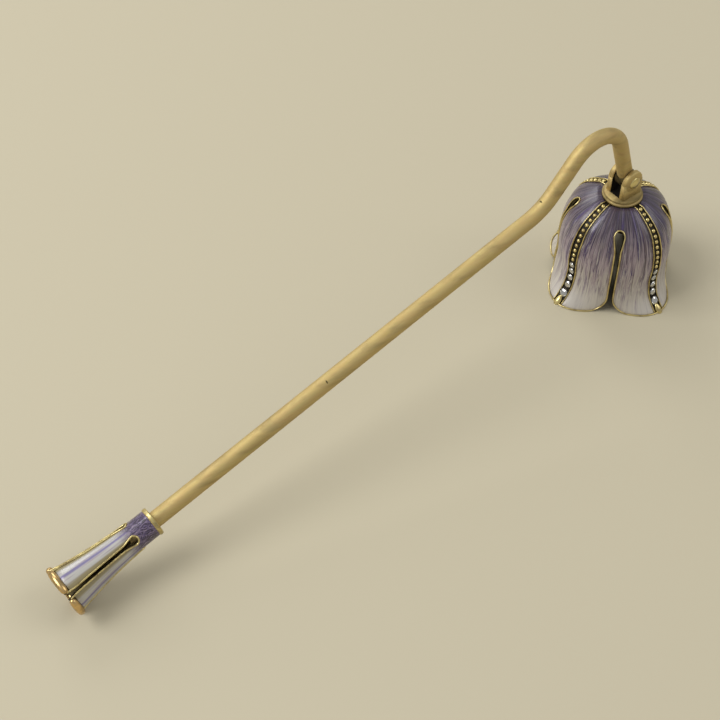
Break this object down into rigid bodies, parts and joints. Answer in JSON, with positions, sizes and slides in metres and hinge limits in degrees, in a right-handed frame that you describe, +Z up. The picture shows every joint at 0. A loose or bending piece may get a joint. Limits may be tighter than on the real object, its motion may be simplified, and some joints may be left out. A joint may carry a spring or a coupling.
{
  "type": "candle snuffer",
  "caption": "Candle snuffer with a hinged, enamelled petal-shaped bell set with crystals, on a long hooked brass rod that ends in a small enamelled flower.",
  "frame": {"origin": "centre of the bell's mouth, on the table that the snuffer lies on", "axes": "+Z up, -X along the handle, the bell's pivot pin along Y"},
  "size_m": [0.2408, 0.0506, 0.0702],
  "materials": {
    "antique_brass": "satin, darkened in the recesses",
    "purple_enamel": "gloss, deep purple at the crown fading to pearl at the petals' edge",
    "pearl_enamel": "gloss, pale blue-white with blue-purple veins and a purple top",
    "crystal": "clear, faceted"
  },
  "bodies": {
    "handle": {"handle_rod": "antique_brass", "handle_flower": "antique_brass", "handle_enamel": "pearl_enamel"},
    "bell": {"bell": "antique_brass", "enamel_northeast": "purple_enamel", "enamel_northwest": "purple_enamel", "enamel_southwest": "purple_enamel", "enamel_southeast": "purple_enamel", "yoke": "antique_brass", "bell_screw": "antique_brass", "pivot_rivet": "antique_brass", "crystal_east_1": "crystal", "crystal_east_2": "crystal", "crystal_east_3": "crystal", "crystal_east_4": "crystal", "crystal_east_5": "crystal", "crystal_north_1": "crystal", "crystal_north_2": "crystal", "crystal_north_3": "crystal", "crystal_north_4": "crystal", "crystal_north_5": "crystal", "crystal_west_1": "crystal", "crystal_west_2": "crystal", "crystal_west_3": "crystal", "crystal_west_4": "crystal", "crystal_west_5": "crystal", "crystal_south_1": "crystal", "crystal_south_2": "crystal", "crystal_south_3": "crystal", "crystal_south_4": "crystal", "crystal_south_5": "crystal"}
  },
  "joints": [
    {"name": "bell_swing", "type": "hinge", "parent": "handle", "child": "bell", "pos_m": [0, 0, 0.0435], "axis": [0, 1, 0], "range_deg": [-110, 58]}
  ]
}
